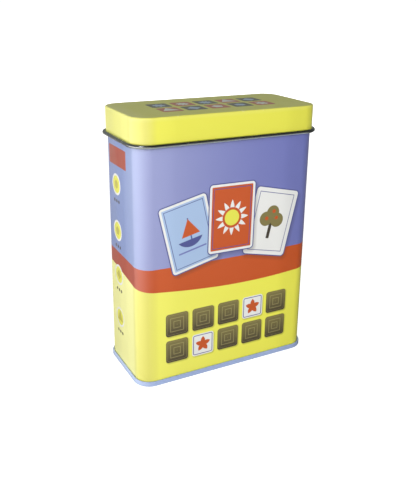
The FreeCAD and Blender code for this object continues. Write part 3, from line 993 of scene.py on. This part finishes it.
def makeDeck():
    pressed, thick = deck["pressed"], deck["thickness"]
    bends = [(math.sin(a) * pressed - pressed, pressed - math.cos(a) * pressed) for a in np.linspace(0, math.pi / 2, 4)]
    points = bends + [(u, thick - z) for u, z in bends[::-1]]
    section = makeSection("cardSection", points, [0.0] * len(bends) + [1.0] * len(bends), False)
    finishes = {"Printed": makeCardFace(), "Bare": makeCardBack(), "Edge": makeCardEdge()}
    made = []
    for card in "ab":
        for pair in range(deck["pairs"]):
            node = f"pair_{pair + 1:02}_card_{card}"
            backPlane = deck["front"] + deck["pitch"] * len(made) + thick
            piece = sweep(f"card{pair + 1:02}{card.upper()}", {
                "Section": section, "Path Width": deck["width"] * mm, "Path Depth": deck["height"] * mm,
                "Corner Radius": deck["corner"] * mm, "Corner Steps": deck["cornerSteps"],
                "Printed Plate": thick * mm, "Bare Plate": 0.0,
                "Turn": (math.pi / 2, 0.0, 0.0), "Place": (0.0, backPlane * mm, cardMiddle * mm), **finishes})
            piece.data.attributes.new("pair", "FLOAT", "POINT").data.foreach_set(
                "value", [float(pair)] * len(piece.data.vertices))
            settle(piece, node, node)
            made.append(piece)
    bpy.data.objects.remove(section)
    return made


cards = makeDeck()
print("deck:", len(cards), "cards of", len(cards[0].data.polygons), "faces")

# Leaflet: the CAD node keeps its folds and gets printed paper
leaflet = {
    "grid": {"left": -24.0, "low": 20.0, "pitch": 12.0, "columns": 4, "rows": 5, "half": 4.6, "corner": 0.8},
    "head": (92.0, 24.0, 4.0, 1.0),
}


def makePaper():
    material, tree, inputs = newFinish("leafletPaper")
    place = objectPoint(tree)
    x, _, z = parted(place)
    grid = leaflet["grid"]
    local, number, inside = cells(x, z, grid)
    edge = tileShape(local, grid)
    fibre = grain(place, 1.6, 5.0, 0.65)
    colour = mixInk(fibre, ink(236, 235, 228), ink(247, 246, 241))
    dark = below((number * 0.41).math("FRACT"), 0.4)
    tile = mixInk(below(edge, -0.35), palette["deepBlue"], mixInk(dark, palette["sky"], palette["white"]))
    tile = mixInk(dark * below(figureShape(local, 2.6, number)), tile, palette["orange"])
    colour = mixInk(inside * below(edge), colour, tile)
    height, *box = leaflet["head"]
    head = boxShape(joined(tree, x, z - height), *box)
    colour = paint(colour, "orange", head)
    plug(tree, colour, inputs["Base Color"])
    plug(tree, 0.62 + fibre * 0.2, inputs["Roughness"])
    relief(tree, inputs, fibre, 0.02)
    return material


frame["nodes"]["rules_leaflet"].material_slots[0].material = makePaper()
print("leaflet papered")

# Floor, light and camera
studio = {
    "floor": ink(186, 186, 186), "floorReach": 40.0, "floorDrop": 0.05, "floorFill": 0.08, "aim": (0, 0, 0.06),
    "floorWhite": (0.25, 1.2, 0.84, 1.0),  # near, far, glow near, glow far
    "key": {"place": (-0.27, -0.73, 0.36), "size": (0.9, 0.5), "power": 7.4, "glossy": False},
    "left": {"place": (-0.7, 0.45, 0.12), "size": (0.6, 0.24), "power": 5.9, "glossy": False},
    "rear": {"place": (0.45, 0.72, 0.22), "size": (0.7, 0.4), "power": 3.0, "glossy": False},
    "window": {"place": (-0.55, -0.38, 0.66), "size": (0.16, 0.24), "power": 1.0},
    "horizon": 0.38, "zenith": 0.18, "zenithUp": 0.7, "skyEdge": (-0.02, 0.03), "skyTint": (0.95, 1.03, 0.9),
    "backdrop": 1.0, "openWay": (-0.5, 0.866, 0.0), "openShare": 0.4,
    # what the upright walls mirror, by degrees to the left of the front: a bright table, dim to the right
    "mirrorStart": -130, "mirrorLevel": 6.0, "mirrorTint": (0.98, 0.94, 0.85),
    "mirrorTop": (-0.13, 0.06), "mirrorFoot": (-0.42, 0.22), "steep": (-0.68, 0.08), "steepLevel": 1.15,
    "mirror": [(-130, 0.3), (-60, 0.15), (-38, 0.25), (-28, 0.8), (0, 1.4), (25, 2.2), (55, 4.0), (80, 5.0),
               (110, 4.3), (130, 2.7), (145, 1.3), (157, 0.5), (168, 0.4), (178, 1.0), (192, 1.0), (205, 0.3)],
}
view = {
    "sensor": 36.0, "lens": 49.393, "shift": -0.0616, "clip": (0.01, 50.0),
    "across": (0.88192631, -0.47117185, 0.01425002), "up": (0.13548154, 0.28231332, 0.94970729),
    "place": (-133.907, -246.429, 161.642),  # in millimetres
}


def makeFloor():
    mesh = bpy.data.meshes.new("floor")
    editor = bmesh.new()
    bmesh.ops.create_circle(editor, cap_ends=True, segments=64, radius=studio["floorReach"])
    editor.to_mesh(mesh)
    editor.free()
    mesh.transform(Matrix.Translation((0, 0, -studio["floorDrop"] * mm)))
    material, tree, inputs = newFinish("paleFloor", {"Roughness": 0.9})
    inputs["Base Color"].default_value = studio["floor"]
    inputs["Emission Color"].default_value = ink(255, 255, 255)
    reach = vectorNode(tree, "LENGTH", outOf(tree, "ShaderNodeTexCoord", (), "Object"))
    near, far, low, high = studio["floorWhite"]
    white = outOf(tree, "ShaderNodeMapRange", {0: reach, 1: near, 2: far, 3: low, 4: high})
    seen = outOf(tree, "ShaderNodeLightPath", (), "Is Camera Ray")
    plug(tree, seen * (white - studio["floorFill"]) + studio["floorFill"], inputs["Emission Strength"])
    mesh.materials.append(material)
    floor = bpy.data.objects.new("floor", mesh)
    scene.collection.objects.link(floor)
    floor.visible_glossy = False  # the walls mirror the sky's lower half instead


def addSoftbox(name, place, size, power, glossy=True):
    light = bpy.data.lights.new(name, "AREA")
    light.shape = "RECTANGLE"
    light.size, light.size_y = size
    light.energy = power
    lamp = bpy.data.objects.new(name, light)
    scene.collection.objects.link(lamp)
    lamp.location = place
    lamp.visible_glossy = glossy
    aim = Vector(studio["aim"]) - Vector(place)
    lamp.rotation_euler = aim.to_track_quat("-Z", "Y").to_euler()


def makeSky():
    world = bpy.data.worlds.new("studio")
    world.use_nodes = True
    tree = world.node_tree
    x, y, up = parted(outOf(tree, "ShaderNodeTexCoord", (), "Generated"))
    level = outOf(tree, "ShaderNodeMapRange", {
        "Value": up, "From Min": 0.0, "From Max": studio["zenithUp"],
        "To Min": studio["horizon"], "To Max": studio["zenith"]})
    flat = vectorNode(tree, "NORMALIZE", joined(tree, x, y))
    facing = vectorNode(tree, "DOT_PRODUCT", flat, studio["openWay"])
    level = level * (1.0 - studio["openShare"] + facing * studio["openShare"]) * above(up, *studio["skyEdge"])
    level = level + below(up, *studio["steep"]) * studio["steepLevel"]
    first = studio["mirrorStart"]
    turn = mathNode(tree, "ARCTAN2", x * -1.0, y * -1.0) * (180 / math.pi) - first
    stops = []
    for degrees, share in studio["mirror"]:
        glow = [share / studio["mirrorLevel"] * tint for tint in studio["mirrorTint"]]
        stops.append(((degrees - first) / 360, glow + [1.0]))
    ramp = inkRamp(tree, (turn / 360.0).math("FRACT"), stops, "LINEAR")
    band = below(up, *studio["mirrorTop"]) * above(up, *studio["mirrorFoot"])
    mirrored = stretched(tree, ramp, band * studio["mirrorLevel"])
    light = vectorNode(tree, "ADD", mirrored, joined(tree, *[level * tint for tint in studio["skyTint"]]))
    seen = outOf(tree, "ShaderNodeLightPath", (), "Is Camera Ray")
    light = mixInk(seen, light, (*[studio["backdrop"]] * 3, 1.0))
    plug(tree, light, tree.nodes["Background"].inputs["Color"])
    scene.world = world


def makeCamera():
    data = bpy.data.cameras.new("camera")
    data.sensor_width, data.lens = view["sensor"], view["lens"]
    data.shift_y = view["shift"]
    data.clip_start, data.clip_end = view["clip"]
    camera = bpy.data.objects.new("camera", data)
    scene.collection.objects.link(camera)
    across, up = Vector(view["across"]), Vector(view["up"])
    turn = Matrix((across, up, across.cross(up))).transposed().to_4x4()
    camera.matrix_world = Matrix.Translation(Vector(view["place"]) * mm) @ turn
    scene.camera = camera


makeFloor()
for name in ("key", "left", "rear", "window"):
    addSoftbox(name, **studio[name])
makeSky()
makeCamera()
scene.view_settings.view_transform = "Standard"
print("studio ready")
